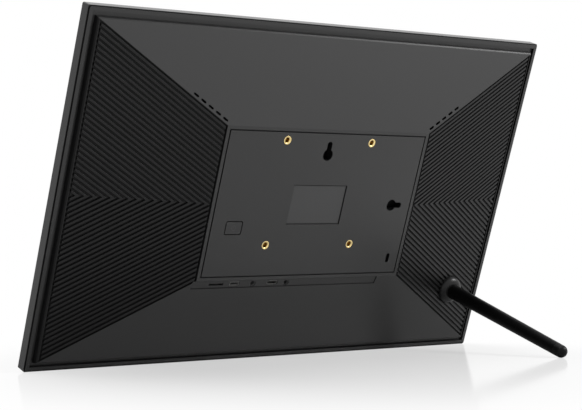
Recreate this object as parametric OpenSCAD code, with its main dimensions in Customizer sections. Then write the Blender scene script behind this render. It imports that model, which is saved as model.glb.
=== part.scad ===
// Digital photo frame of the 15.6 inch class, leaning on a leg that screws into its ribbed back.
// Inside the modules the frame stands upright: X runs across it, Y points out of its back from the
// plane of the rear rim, and Z runs up it from mid-height. Module stand() leans it into place.

/* [Outline] */
// Width of the whole frame
frame_w = 395; // [385:1:420]
// Height of the whole frame, measured along it
frame_h = 244; // [236:1:265]
// Depth of the frame's side, from the front face to the rear rim
side_d = 8.2; // [7.8:0.1:12]
// Radius of the outline's corners
corner_r = 1.2; // [0.6:0.1:2]

/* [Rim and trough] */
// Width of the flat rear rim
rim_w = 3.4; // [2.6:0.1:5]
// Width of the shadow trough's floor
trough_w = 2.8; // [2:0.1:4]
// Depth of the trough below the rim
trough_d = 1.8; // [1:0.1:2.2]
// Height of the housing's sloping faces above the rim, where they start
island_h = 2; // [1:0.1:3]
// Draft of the wall that rises from the trough
island_draft = 0.8; // [0.3:0.1:1.2]
// Chamfer along the foot of the sloping faces
island_edge = 0.7; // [0.3:0.1:1]
// Thickness of the rim's lip at the parting line
lip_t = 0.5; // [0.4:0.1:1.2]
// How far the rim's lip stays inside the front frame's outline
lip_in = 0.8; // [0.3:0.1:1.2]
// Width of the shadow gap between the front frame and the rim
reveal = 0.5; // [0.4:0.1:1.5]

/* [Rear housing] */
// Wall thickness of the rear housing
wall = 2.4; // [2.2:0.1:3]
// Width of the raised plateau
plateau_w = 178.5; // [170:0.5:200]
// Height of the raised plateau
plateau_h = 109; // [100:0.5:120]
// Height of the plateau above the rear rim
plateau_d = 19; // [18:0.5:26]
// Distance of the decorative groove from the plateau's edge
groove_in = 2.3; // [1.8:0.1:5]
// Width of the decorative groove
groove_w = 1; // [0.5:0.1:1.5]
// Depth of the decorative groove
groove_d = 0.8; // [0.3:0.1:1]

/* [Ribs] */
// Spacing of the chevron ribs, measured up the frame
rib_pitch = 3.6; // [3.2:0.1:5]
// Height of one rib, measured up the frame
rib_w = 1.7; // [1.4:0.1:2.4]
// Depth of the field that the ribs stand in
rib_depth = 1.3; // [0.6:0.1:1.4]
// Plain border between the ribbed field and the foot of its face
rib_border = 1.2; // [1.1:0.1:2]
// Land left between the ribbed field and the diagonals and the plateau
rib_edge = 0.3; // [0.2:0.1:1.5]
// Open channel round the ribs inside their field
rib_channel = 1.3; // [0.5:0.1:1.8]

/* [Vents] */
// Number of slots beside each upper diagonal
vent_count = 5; // [3:1:8]
// Spacing of the slots along the diagonal
vent_pitch = 7; // [6:0.1:9]
// Length of one slot
vent_len = 4.6; // [3:0.1:5.4]
// Width of one slot
vent_w = 1.6; // [1:0.1:1.8]
// Distance of the slots' middle line from the diagonal
vent_off = 2.1; // [1.7:0.1:2.4]
// Distance of the first slot from the plateau's corner
vent_first = 4; // [3.5:0.1:8]

/* [Wall mounting] */
// Side of the square mounting pattern
pattern = 75; // [70:5:80]
// Height of the pattern's centre above mid-height
pattern_up = 8.2; // [4:0.1:10]
// Outer diameter of a brass insert
insert_d = 6.2; // [5.8:0.1:6.6]
// Bore of a brass insert
insert_bore = 3.4; // [3.2:0.1:4]
// Length of a brass insert
insert_len = 8; // [6:0.5:9]
// Wall of plastic round a brass insert
boss_wall = 1.9; // [1.5:0.1:2.5]
// Diameter of a keyhole's wide end
key_head = 8.4; // [8:0.1:9]
// Width of a keyhole's narrow slot
key_slot = 4.2; // [4:0.1:4.6]
// Distance from the wide end's centre to the slot's end centre
key_run = 7.4; // [6:0.1:9]
// Height of the upper keyhole's wide end above mid-height
key_up = 36.2; // [30:0.1:40]
// Distance of the side keyhole's wide end from the middle
key_side = 68.7; // [64:0.1:70]
// Free depth behind a keyhole
key_depth = 8; // [5:0.1:8]
// Wall of the pocket behind a keyhole
pocket_wall = 1.4; // [1:0.1:2]
// Width of the security slot
lock_w = 3; // [3:0.1:3.2]
// Height of the security slot
lock_h = 7; // [7:0.1:7.4]
// Distance of the security slot from the middle
lock_side = 76.8; // [70:0.1:78]
// Distance of the security slot below mid-height
lock_down = 40.3; // [34:0.1:44]

/* [Plate recess] */
// Width of the shallow plate recess
plate_w = 47.2; // [40:0.1:56]
// Height of the shallow plate recess
plate_h = 28.6; // [20:0.1:32]
// Depth of the shallow plate recess
plate_d = 0.8; // [0.4:0.1:1.2]

/* [Power button] */
// Width of the button's window
button_w = 14.2; // [12:0.1:16]
// Height of the button's window
button_h = 10; // [8:0.1:12]
// Corner radius of the button's window
button_r = 1.6; // [1:0.1:3]
// Gap between the button and its window
button_gap = 0.7; // [0.3:0.1:0.8]
// Travel of the button
button_travel = 0.5; // [0.3:0.1:0.8]
// Distance of the button from the middle
button_side = 67.7; // [62:0.1:72]
// Distance of the button below mid-height
button_down = 16.7; // [10:0.1:24]

/* [Leg] */
// Distance of the leg's axis from the frame's side edge
leg_in = 39.5; // [32:0.5:48]
// Distance of the leg's axis from the frame's lower edge
leg_up = 50.5; // [44:0.5:60]
// Distance of the foot's centre behind the rear rim
leg_reach = 130; // [110:1:160]
// Diameter of the leg at its root
leg_root_d = 11; // [9:0.1:13]
// Diameter of the leg at its foot
leg_foot_d = 9.2; // [8:0.1:11]
// Length of the rubber foot's sleeve
foot_len = 9; // [6:0.5:14]
// Diameter of the peg that holds the rubber foot
foot_peg = 4; // [3:0.1:5]
// Diameter of the socket collar
collar_d = 21; // [20:0.1:24]
// Height of the socket collar above the housing, at its axis
collar_h = 5.4; // [5:0.1:6.5]
// Radius of the collar's rounded shoulder
collar_round = 4.8; // [2:0.1:5]
// Diameter of the collar's sleeve through the housing
sleeve_d = 13; // [12:0.1:14]
// Diameter of the leg's threaded stud
stud_d = 6; // [5:0.1:7]
// Length of the stud in the socket
stud_len = 9.5; // [7:0.1:10]
// Outer diameter of the brass nut in the socket
nut_d = 9; // [8.4:0.1:10]

/* [Display] */
// Black border beside the lit picture, from the frame's side edge
border_w = 25.4; // [22:0.1:32]
// Black border above and below the lit picture, from the frame's edge
border_h = 25.2; // [22:0.1:32]
// Thickness of the front glass
glass_t = 1.1; // [0.7:0.1:1.4]
// Width of the front frame's lip round the glass
front_lip = 3.8; // [3:0.1:6]
// Thickness of the liquid-crystal cell
cell_t = 1.2; // [0.8:0.1:1.4]
// Thickness of the stacked optical films
films_t = 0.5; // [0.3:0.1:0.7]
// Thickness of the light guide
guide_t = 1.8; // [1.2:0.1:2]
// Thickness of the reflector sheet
reflector_t = 0.3; // [0.2:0.05:0.4]
// Thickness of the tray's sheet steel
tray_t = 0.5; // [0.4:0.1:0.8]

/* [Electronics] */
// Width of the main board
board_w = 124; // [118:1:136]
// Height of the main board
board_h = 80; // [74:1:90]
// Thickness of the circuit boards
board_t = 1.6; // [1:0.1:1.8]
// Height of the main board above the tray
board_up = 4.8; // [4:0.1:6]
// Height of the strip of sockets, measured along its sloping face
port_h = 6.4; // [6.2:0.1:7.5]
// End of the socket strip on the button's side
port_left = 92; // [88:0.5:94]
// End of the socket strip on the leg's side
port_right = 71; // [66:0.5:74]

/* [Hidden] */
$fn = 64;

// Clearances
fit = 0.05;          // round pieces pressed or screwed into a bore, on the radius
slip = 0.2;          // parts that drop into a frame, on each side
touch = 0.02;        // stacked sheets, between faces
over = 1;            // how far a cutting shape runs past what it cuts

// Pose: the leg's length and place set how far the frame leans back
mid = frame_h / 2;
foot_r = leg_foot_d / 2;
heel_y = -(lip_t + reveal);                    // rear edge of the front frame, which it stands on
reach = leg_reach - heel_y;
lean = acos(foot_r / norm([reach, leg_up])) - atan2(reach, leg_up);
foot_y = reach * cos(lean) + leg_up * sin(lean);
front_y = -(side_d + heel_y) * cos(lean);
stand_y = -(foot_y + foot_r + front_y) / 2;

// Rear housing, as half sizes from the middle
facet_in = rim_w + trough_w + island_draft;
face_x = frame_w / 2 - facet_in;
face_z = mid - facet_in;
plat_x = plateau_w / 2;
plat_z = plateau_h / 2;
rise = plateau_d - island_h;
side_slope = atan2(rise, face_x - plat_x);
end_slope = atan2(rise, face_z - plat_z);
side_len = norm([rise, face_x - plat_x]);
end_len = norm([rise, face_z - plat_z]);
frame_wall = 2;                                // side wall of the front frame
shelf_w = 6.5;                                 // ledge that carries the glass, inside the wall
shelf_t = 1.2;
skirt_t = 1.6;                                 // skirt of the housing inside the front frame
parting_y = heel_y;
glass_y = -side_d + 0.3 + glass_t;             // rear face of the glass, just below the front lip
shelf_y = glass_y + shelf_t;                   // rear face of the shelf
skirt_y = shelf_y + touch;                     // front edge of the skirt
skirt_w = frame_w - 2 * (frame_wall + slip);
skirt_h = frame_h - 2 * (frame_wall + slip);
floor_t = 1.4;                                 // plastic under the trough

// Display stack, front to rear
gasket_t = 0.5;
cell_y = glass_y + gasket_t + touch;
films_y = cell_y + cell_t + touch;
guide_y = films_y + films_t + touch;
reflector_y = guide_y + guide_t + touch;
tray_y = reflector_y + reflector_t + touch;
tray_back = tray_y + tray_t;
active_w = frame_w - 2 * border_w;             // lit picture
active_h = frame_h - 2 * border_h;
cell_border = 3;                               // dark edge of the cell round the lit picture
cell_w = active_w + 2 * cell_border;
cell_h = active_h + 2 * cell_border;
led_h = 2.4;                                   // depth of the light bar below the guide
pad_w = 10;                                    // pad on the shelf that takes a panel screw
pad_h = 14;
shelf_in_w = frame_w - 2 * (frame_wall + shelf_w);
shelf_in_h = frame_h - 2 * (frame_wall + shelf_w);
pad_x = shelf_in_w / 2 + 0.5 - pad_w / 2;
pad_z = cell_h / 2 - 19.8;
ear_y = tray_y - 1.2;                          // front face of the tray's ears
ear_h = 10;
ear_x = pad_x + pad_w / 2 - 2;                 // reach of the ears, short of the housing's wall
panel_screw_l = 2.4;
screw_d = 2.5;
screw_head = 4.6;
screw_head_t = 1.2;

// Electronics
board_y = tray_back + board_up;                // front face of the main board
board_back = board_y + board_t;
board_x0 = button_side + button_gap + 9.5;     // edge of the board past the switch
board_z0 = -47;                                // lower edge of the main board
standoff_d = 5.5;
board_inset = 4;
switch_w = 6;
switch_h = 3.5;
plunger_d = 3.4;
plunger_h = 1.2;
button_skirt = 1;                              // flange that keeps the button in its window
button_seat = plateau_d - wall - 0.15;         // top of that flange, just inside the wall
button_flange_t = 1.2;
plunger_in = 1.5;                              // length of the plunger inside the switch
chip_w = 14;
chip_t = 1.2;
pad_t = 0.5;
sink_w = 24;
sink_h = 5;
sink_base = 1.2;
sink_fins = 7;
sink_fin_t = 1;
chip_x = 16;
chip_z = -2;
cable_t = 0.3;
timing_w = active_w - 124;
timing_h = 12;
timing_t = 0.8;
timing_z = 14.8 - cell_h / 2;
display_cable_x = -10;
display_cable_w = 24;
wifi_x = -32;
wifi_z = 18;
wifi_t = 2;
wifi_w = 14;
wifi_h = 12;
antenna_x = -62;
antenna_z = 28;
antenna_w = 36;
antenna_h = 7;
antenna_bend = 12;                             // how far the coax leads out past the module
antenna_lead = 8;
coax_d = 1.1;
wire_d = 1.2;

// Sockets, in the frame of the lower sloping face: z is the depth below the face
bezel_sink = 0.4;
bezel_t = 2;
bezel_gap = 0.3;
bezel_seat = 0.6;                              // ledge round the window that carries the strip
bezel_seat_t = 1.8;
port_mid = -port_h / 2;
mouth_z = -bezel_sink - 0.4;                   // mouths of the sockets that pass into the strip
behind_z = -bezel_sink - bezel_t - touch;      // mouth of the card slot, behind the strip
port_board_z = -8.4;
port_board_t = 1.2;
port_board_x0 = -84;
port_board_y0 = -13.4;
port_board_w = 84;
port_board_h = 14.4;
port_post_y = -10.4;
port_cable_x = 60;
port_gap = 0.2;                                // round each socket in the strip
socket_h = 3.4;                                // square housing of the round sockets
card_at = -71.5;
micro_usb_at = -56;
audio_at = -40.5;
usb_c_at = -23.5;
dc_at = -11.5;

// Speakers, in the frame of the upper sloping face
speaker_l = 34;
speaker_w = 13;
speaker_t = 4.5;
speaker_gap = 2;
speaker_ring = 0.8;
speaker_at = vent_first + (vent_count - 1) / 2 * vent_pitch;
speaker_off = 0.5;                             // gasket's edge, clear of the crease inside
speaker_lead_x = plat_x + 10;
speaker_lead_z = plat_z + 15;
speaker_depth = (wall + speaker_gap + speaker_t) / cos(end_slope);
speaker_back_y = plateau_d - 15 * tan(end_slope) - speaker_depth - 0.2;
diagonal = atan2(end_len, face_x - plat_x);

// Socket for the leg
leg_x = -(frame_w / 2 - leg_in);
leg_z = leg_up - mid;
leg_face = island_h + (face_x + leg_x) * tan(side_slope);   // housing's surface at the leg's axis
collar_y = leg_face + collar_h;                // top of the collar
collar_seat = leg_face - (collar_d / 2 + 0.1) * tan(side_slope) - (rib_depth + 0.4) / cos(side_slope);
stud_y = collar_y - stud_len;
sleeve_floor = 1;
sleeve_y = stud_y - sleeve_floor - 1.2;        // closed end of the sleeve
leg_y = collar_y + fit;                        // where the rod starts
stud_in = 8;                                   // length of the stud inside the rod
foot_y0 = leg_reach + foot_r - foot_len;       // where the rubber foot starts

// Mounting points in the plateau
insert_y = plateau_d - insert_len;
key_y = plateau_d - key_depth;

// --- helpers -------------------------------------------------------------------------------

module stand() {
    translate([0, stand_y, 0]) rotate([-lean, 0, 0]) translate([0, -heel_y, mid]) children();
}

// Extrudes an outline drawn in X and Z from one depth to another
module slab(y0, y1) {
    translate([0, y1, 0]) rotate([90, 0, 0]) linear_extrude(y1 - y0) children();
}

module rounded(w, h, r) {
    square([w - 2 * r, h], center = true);
    square([w, h - 2 * r], center = true);
    for (x = [-1, 1], z = [-1, 1]) translate([x * (w / 2 - r), z * (h / 2 - r)]) circle(r);
}

module slot(length, width) {
    square([length - width, width], center = true);
    for (s = [-1, 1]) translate([s * (length - width) / 2, 0]) circle(width / 2);
}

// Round bar along Y
module bar(x, z, d, y0, y1) {
    translate([x, y1, z]) rotate([90, 0, 0]) cylinder(d = d, h = y1 - y0);
}

// Frames of the sloping faces: z is out of the face
module side_face(s) {
    mirror([s < 0 ? 1 : 0, 0, 0])
        translate([face_x, island_h, 0]) rotate([90, 0, 180 - side_slope]) children();
}

module lower_face() {
    translate([0, plateau_d, -plat_z]) rotate([-end_slope, 0, 0]) rotate([90, 0, 180]) children();
}

module upper_face() {
    translate([0, plateau_d, plat_z]) rotate([end_slope - 90, 0, 0]) children();
}

// Screw whose head bears on z = 0 from below and whose shank points up
module screw(length) {
    translate([0, 0, -screw_head_t]) cylinder(d = screw_head, h = screw_head_t);
    cylinder(d = screw_d, h = length);
}

// The same screw driven forwards, its head bearing at depth y
module screw_at(x, y, z, length) {
    translate([x, y, z]) rotate([90, 0, 0]) screw(length);
}

// Flat cable or sheet bent in the plane of Z and Y, from a list of [z, y] points
module ribbon(x, width, t, points) {
    back = [for (i = [len(points) - 1:-1:0]) points[i] + [0, t]];
    translate([x + width / 2, 0, 0]) rotate([0, -90, 0]) linear_extrude(width) polygon(concat(points, back));
}

// Wire laid in a plane parallel to the back, from a list of [x, z] points
module wire(points, d, y) {
    slab(y, y + d) {
        for (p = points) translate(p) circle(d / 2);
        for (i = [1:len(points) - 1]) {
            run = points[i] - points[i - 1];
            translate(points[i - 1]) rotate(atan2(run[1], run[0]))
                translate([0, -0.48 * d]) square([norm(run), 0.96 * d]);
        }
    }
}

// --- front -----------------------------------------------------------------------------------

module at_pads() {
    for (x = [-1, 1], z = [-1, 1]) translate([x * pad_x, 0, z * pad_z]) children();
}

module front_frame() {
    color("#1a1a1c") stand() difference() {
        union() {
            difference() {
                slab(-side_d, parting_y) rounded(frame_w, frame_h, corner_r);
                slab(-side_d - over, glass_y)
                    rounded(frame_w - 2 * front_lip, frame_h - 2 * front_lip, corner_r);
                slab(-side_d - over, parting_y + over) square([shelf_in_w, shelf_in_h], center = true);
                slab(shelf_y, parting_y + over)
                    square([frame_w - 2 * frame_wall, frame_h - 2 * frame_wall], center = true);
            }
            at_pads() slab(glass_y + touch, ear_y) square([pad_w, pad_h], center = true);
        }
        at_pads() bar(0, 0, screw_d + 2 * fit, ear_y - panel_screw_l - fit, ear_y + over);
    }
}

module cover_glass() {
    color("#0a0a0c") stand() slab(glass_y - glass_t, glass_y - touch)
        rounded(frame_w - 2 * front_lip - 2 * slip, frame_h - 2 * front_lip - 2 * slip, corner_r);
}

// --- display ---------------------------------------------------------------------------------

module panel_gasket() {
    color("#202020") stand() slab(glass_y, glass_y + gasket_t) difference() {
        square([cell_w, cell_h], center = true);
        square([active_w + 2, active_h + 2], center = true);
    }
}

module lcd_cell() {
    color("#101014") stand() slab(cell_y, cell_y + cell_t) square([cell_w, cell_h], center = true);
}

module optical_films() {
    color("#e8e8ea") stand() slab(films_y, films_y + films_t) square([cell_w, cell_h], center = true);
}

module light_guide() {
    color("#d8e4e8") stand() slab(guide_y, guide_y + guide_t)
        translate([-cell_w / 2, -cell_h / 2 + led_h]) square([cell_w, cell_h - led_h]);
}

module led_strip() {
    led_pitch = 8;
    led_l = 3.5;
    count = floor(active_w / led_pitch);
    color("#f0f0e8") stand() {
        slab(guide_y, guide_y + guide_t)
            translate([-active_w / 2, -cell_h / 2]) square([active_w, led_h / 2]);
        for (i = [0:count - 1])
            translate([(i - (count - 1) / 2) * led_pitch - led_l / 2, guide_y + 0.2, -cell_h / 2 + led_h / 2])
                cube([led_l, guide_t - 0.4, led_h / 2 - slip]);
    }
}

module reflector_sheet() {
    color("#fafafa") stand() slab(reflector_y, reflector_y + reflector_t)
        square([cell_w, cell_h], center = true);
}

module at_standoffs() {
    for (x = [board_x0 - board_inset, board_x0 - board_w + board_inset])
        for (z = [board_z0 + board_inset, board_z0 + board_h - board_inset]) translate([x, 0, z]) children();
}

module lcd_back_tray() {
    in_w = cell_w + 2 * slip;
    in_h = cell_h + 2 * slip;
    color("#b8bcc0") stand() difference() {
        union() {
            slab(cell_y, tray_back) square([in_w + 2 * tray_t, in_h + 2 * tray_t], center = true);
            for (x = [-1, 1], z = [-1, 1]) slab(ear_y, ear_y + tray_t)
                translate([x * (in_w / 2 + ear_x) / 2, z * pad_z])
                    square([ear_x - in_w / 2, ear_h], center = true);
            at_standoffs() bar(0, 0, standoff_d, tray_back - tray_t / 2, board_y);
        }
        slab(cell_y - over, tray_y) square([in_w, in_h], center = true);
        at_pads() bar(0, 0, screw_d + 2 * slip, ear_y - over, ear_y + tray_t + over);
        at_standoffs() bar(0, 0, screw_d + 2 * fit, tray_back, board_y + over);
    }
}

module panel_screws() {
    color("#c0c0c0") stand() at_pads() screw_at(0, ear_y + tray_t, 0, panel_screw_l);
}

module timing_board() {
    color("#14502c") stand() slab(tray_back + touch, tray_back + timing_t)
        translate([0, timing_z]) square([timing_w, timing_h], center = true);
}

module display_cable() {
    low = tray_back + timing_t;
    color("#d8a850") stand() ribbon(display_cable_x, display_cable_w, cable_t, [
        [timing_z - timing_h / 4, low],
        [timing_z + timing_h, low],
        [board_z0 - 3, board_back],
        [board_z0 + 8, board_back]
    ]);
}

// --- main board --------------------------------------------------------------------------------

module main_board() {
    color("#185c34") stand() difference() {
        slab(board_y, board_back) translate([board_x0 - board_w / 2, board_z0 + board_h / 2])
            rounded(board_w, board_h, 2);
        at_standoffs() bar(0, 0, screw_d + 2 * slip, board_y - over, board_back + over);
    }
}

module board_screws() {
    color("#c0c0c0") stand() at_standoffs() screw_at(0, board_back, 0, board_t + 3);
}

module processor() {
    color("#202024") stand() slab(board_back, board_back + chip_t)
        translate([chip_x, chip_z]) square(chip_w, center = true);
}

module thermal_pad() {
    y = board_back + chip_t;
    color("#9090a0") stand() slab(y, y + pad_t) translate([chip_x, chip_z]) square(chip_w, center = true);
}

module heat_sink() {
    y = board_back + chip_t + pad_t;
    color("#a0a4a8") stand() {
        slab(y, y + sink_base) translate([chip_x, chip_z]) square(sink_w, center = true);
        for (i = [0:sink_fins - 1]) slab(y, y + sink_h)
            translate([chip_x - sink_w / 2 + i * (sink_w - sink_fin_t) / (sink_fins - 1), chip_z - sink_w / 2])
                square([sink_fin_t, sink_w]);
    }
}

module memory_chips() {
    color("#1c1c20") stand() slab(board_back, board_back + 1)
        for (x = [chip_x + 24, chip_x + 36]) translate([x, chip_z]) square([9, 13], center = true);
}

module wifi_module() {
    color("#b0b4b8") stand() slab(board_back, board_back + wifi_t)
        translate([wifi_x, wifi_z]) rounded(wifi_w, wifi_h, 1);
}

module wifi_antenna() {
    color("#c89048") stand() slab(plateau_d - wall - cable_t, plateau_d - wall)
        translate([antenna_x, antenna_z]) rounded(antenna_w, antenna_h, 1);
}

module antenna_cable() {
    d = coax_d;
    y = board_back + wifi_t;
    start = [wifi_x, wifi_z];
    end = [antenna_x, antenna_z];
    turn_x = start[0] - antenna_bend;
    color("#303034") stand() {
        wire([start, [turn_x, start[1] - antenna_lead], [turn_x, end[1] + antenna_lead], end], d, y);
        bar(end[0], end[1], d, y, plateau_d - wall - cable_t);
    }
}

// --- power button --------------------------------------------------------------------------------

module at_button() {
    translate([button_side, 0, -button_down]) children();
}

module tact_switch() {
    top = board_back + switch_h;
    color("#282828") stand() at_button() difference() {
        slab(board_back, top) rounded(switch_w, switch_w, 0.4);
        bar(0, 0, plunger_d + 2 * fit, top - plunger_in - button_travel - slip, top + over);
    }
}

module switch_plunger() {
    top = board_back + switch_h;
    color("#c8c0b0") stand() at_button() bar(0, 0, plunger_d, top - plunger_in, top + plunger_h);
}

module power_button() {
    seat = button_seat;
    color("#18181a") stand() at_button() {
        slab(seat - over, plateau_d)
            rounded(button_w - 2 * button_gap, button_h - 2 * button_gap, button_r - button_gap);
        slab(seat - button_flange_t, seat)
            rounded(button_w + 2 * button_skirt, button_h + 2 * button_skirt, button_r);
        bar(0, 0, plunger_d, board_back + switch_h + plunger_h + fit, seat - button_flange_t);
    }
}

// --- sockets behind the lower sloping face ------------------------------------------------------

module block(w, h, z0, z1) {
    translate([0, 0, z0]) linear_extrude(z1 - z0) square([w, h], center = true);
}

module at_port(x) {
    stand() lower_face() translate([x, port_mid, 0]) children();
}

module port_board() {
    color("#185c34") stand() lower_face() difference() {
        translate([port_board_x0, port_board_y0, port_board_z - port_board_t])
            cube([port_board_w, port_board_h, port_board_t]);
        at_port_posts() translate([0, 0, port_board_z - port_board_t - over])
            cylinder(d = screw_d + 2 * slip, h = port_board_t + 2 * over);
    }
}

module at_port_posts() {
    for (x = [port_board_x0 + 6, port_board_x0 + port_board_w - 6])
        translate([x, port_post_y, 0]) children();
}

module port_screws() {
    color("#c0c0c0") stand() lower_face() at_port_posts()
        translate([0, 0, port_board_z - port_board_t]) screw(port_board_t + 3.4);
}

module port_cable() {
    function at_z(y, z) = -plat_z + y * cos(end_slope) - z * sin(end_slope);
    function at_y(y, z) = plateau_d + y * sin(end_slope) + z * cos(end_slope);
    low = port_board_z - port_board_t - cable_t;
    color("#d8a850") stand() ribbon(port_cable_x, 12, cable_t, [
        [at_z(-6, low), at_y(-6, low)],
        [at_z(0, low), at_y(0, low)],
        [board_z0 + 4, board_back],
        [board_z0 + 9, board_back]
    ]);
}

module card_slot() {
    color("#a8acb0") at_port(card_at) difference() {
        block(13.2, 2.6, port_board_z, behind_z);
        block(11.4, 1.3, port_board_z + 1, over);
    }
}

module micro_usb_socket() {
    color("#b8bcc0") at_port(micro_usb_at) {
        difference() {
            block(7.8, 3, port_board_z, mouth_z);
            block(7, 2.2, port_board_z + 1, over);
        }
        translate([-1.9, 0, port_board_z + 0.5]) cube([3.8, 0.6, 5]);
    }
}

module audio_jack() {
    color("#141414") at_port(audio_at) difference() {
        union() {
            block(7, 6, port_board_z, port_board_z + socket_h);
            translate([0, 0, port_board_z]) cylinder(d = 4.6, h = mouth_z - port_board_z);
        }
        translate([0, 0, port_board_z + 1]) cylinder(d = 3.6, h = 20);
    }
}

module usb_c_socket() {
    color("#b8bcc0") at_port(usb_c_at) {
        difference() {
            translate([0, 0, port_board_z]) linear_extrude(mouth_z - port_board_z) slot(8.9, 3.2);
            translate([0, 0, port_board_z + 1]) linear_extrude(20) slot(8.3, 2.6);
        }
        translate([-3.3, -0.35, port_board_z + 0.5]) cube([6.6, 0.7, 5.2]);
    }
}

module dc_jack() {
    color("#141414") at_port(dc_at) {
        difference() {
            union() {
                block(8, 6, port_board_z, port_board_z + socket_h);
                translate([0, 0, port_board_z]) cylinder(d = 4.6, h = mouth_z - port_board_z);
            }
            translate([0, 0, port_board_z + 1]) cylinder(d = 3.6, h = 20);
        }
        translate([0, 0, port_board_z + 0.5]) cylinder(d = 1.3, h = 5);
    }
}

// Outline of the socket strip, grown or shrunk by g on each side
module strip(g) {
    translate([-port_left - g, port_mid - port_h / 2 - g])
        square([port_left + port_right + 2 * g, port_h + 2 * g]);
}

module port_bezel() {
    color("#1c1c1e") stand() lower_face() translate([0, 0, -bezel_sink - bezel_t])
        linear_extrude(bezel_t) difference() {
            strip(-bezel_gap);
            translate([card_at, port_mid]) square([11.8, 1.7], center = true);
            translate([micro_usb_at, port_mid]) square([7.8 + 2 * port_gap, 3 + 2 * port_gap], center = true);
            translate([audio_at, port_mid]) circle(2.3 + port_gap);
            translate([usb_c_at, port_mid]) slot(8.9 + 2 * port_gap, 3.2 + 2 * port_gap);
            translate([dc_at, port_mid]) circle(2.3 + port_gap);
        }
}

// --- speakers ------------------------------------------------------------------------------------

// Frame along the upper diagonal on one side, x outwards along it and -y above it
module along_diagonal(s) {
    mirror([s < 0 ? 1 : 0, 0, 0]) upper_face() translate([plat_x, 0, 0]) rotate(-diagonal) children();
}

module speaker(s) {
    stand() along_diagonal(s) translate([speaker_at, -speaker_off - speaker_ring - speaker_w / 2,
                                         -wall - speaker_gap - speaker_t])
        difference() {
            linear_extrude(speaker_t) rounded(speaker_l, speaker_w, 2);
            translate([0, 0, speaker_t - 0.8]) difference() {
                cylinder(d = speaker_w - 2.5, h = over);
                cylinder(d = speaker_w - 7, h = over);
            }
        }
}

module speaker_right() {
    color("#2a2a2e") speaker(-1);
}

module speaker_left() {
    color("#2a2a2e") speaker(1);
}

module speaker_gaskets() {
    color("#303030") stand() for (s = [-1, 1]) along_diagonal(s)
        translate([speaker_at, -speaker_off - speaker_ring - speaker_w / 2, -wall - speaker_gap])
            linear_extrude(speaker_gap) difference() {
                rounded(speaker_l, speaker_w + 2 * speaker_ring, 2);
                rounded(speaker_l - 2 * speaker_ring, speaker_w, 2);
            }
}

module speaker_wires() {
    d = wire_d;
    y = tray_back + touch;
    x = speaker_lead_x;
    z = speaker_lead_z;
    left_end = [board_x0 - 10, 20];
    right_end = [board_x0 - board_w + 10, 22];
    color("#802020") stand() {
        wire([[x, z], [x, z - 22], [board_x0 + 6, 20], left_end], d, y);
        wire([[-x, z], [-x, z - 20], [right_end[0] - 20, 22], right_end], d, y);
        bar(x, z, d, y, speaker_back_y);
        bar(-x, z, d, y, speaker_back_y);
        bar(left_end[0], left_end[1], d, y, board_y);
        bar(right_end[0], right_end[1], d, y, board_y);
    }
}

// --- rear housing ---------------------------------------------------------------------------------

// Section of the housing's outside across one direction: f and p are the half widths of the sloping
// face's foot and of the plateau
function outside(f, p) = [
    [f + island_draft, -trough_d - floor_t / 2],
    [f + island_draft, -trough_d],
    [f + island_draft * island_edge / (island_h + trough_d), island_h - island_edge],
    [f - island_edge, island_h + island_edge * rise / (f - p)],
    [p, plateau_d]
];

// Section of the hollow, one wall inside it; a is the face's slope
function hollow(f, p, a) = [
    [f - skirt_t, skirt_y - over],
    [f - skirt_t, island_h - wall / cos(a) + skirt_t * tan(a)],
    [p - wall * tan(a / 2), plateau_d - wall]
];

function both_sides(half) = concat(half, [for (i = [len(half) - 1:-1:0]) [-half[i][0], half[i][1]]]);

// Pyramid stump whose sections across and up the frame are given
module stump(across, up) {
    intersection() {
        linear_extrude(frame_h, center = true) polygon(both_sides(across));
        rotate([0, -90, 0]) linear_extrude(frame_w, center = true) polygon(both_sides(up));
    }
}

module housing_solid() {
    difference() {
        union() {
            slab(-lip_t, 0) rounded(frame_w - 2 * lip_in, frame_h - 2 * lip_in, corner_r);
            slab(skirt_y, -lip_t / 2) square([skirt_w, skirt_h], center = true);
        }
        slab(-trough_d, over) square([frame_w - 2 * rim_w, frame_h - 2 * rim_w], center = true);
    }
    stump(outside(face_x, plat_x), outside(face_z, plat_z));
}

module housing_hollow() {
    slab(skirt_y - over, -trough_d - floor_t) square([skirt_w - 2 * skirt_t, skirt_h - 2 * skirt_t], center = true);
    stump(hollow(face_x, plat_x, side_slope), hollow(face_z, plat_z, end_slope));
}

// Ribs drawn in the plane of a side face: x runs up the slope and y up the frame
rib_k = (face_z - plat_z) / side_len;
rib_top = face_z - (rib_edge + rib_channel) * norm([1, rib_k]) - rib_w;
channel_drop = 0.2;                            // how much deeper the channel round the ribs is
function face_edge(x, b) = face_z - rib_k * x - b * norm([1, rib_k]);

// Area of the field, drawn in by b from its outer edges
module rib_area(b) {
    x0 = rib_border + b;
    x1 = side_len - rib_edge - b;
    e = rib_edge + b;
    polygon([[x0, face_edge(x0, e)], [x1, face_edge(x1, e)], [x1, -face_edge(x1, e)], [x0, -face_edge(x0, e)]]);
}

module chevron(v) {
    low = max(v, 0);
    high = v + rib_w;
    polygon([[0, low], [0, high], [high / rib_k, 0], [0, -high], [0, -low], [low / rib_k, 0]]);
}

module rib_gaps() {
    difference() {
        rib_area(rib_channel / 2);
        intersection() {
            rib_area(rib_channel);
            for (i = [0:floor((rib_top + rib_w / 2) / rib_pitch)]) chevron(rib_top - i * rib_pitch);
        }
    }
}

module rib_field() {
    translate([0, 0, -rib_depth]) linear_extrude(rib_depth + over) rib_gaps();
    translate([0, 0, -rib_depth - channel_drop]) linear_extrude(rib_depth + channel_drop + over) difference() {
        rib_area(0);
        rib_area(rib_channel);
    }
}

module at_pattern() {
    for (x = [-1, 1], z = [-1, 1]) translate([x * pattern / 2, 0, pattern_up + z * pattern / 2]) children();
}

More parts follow.
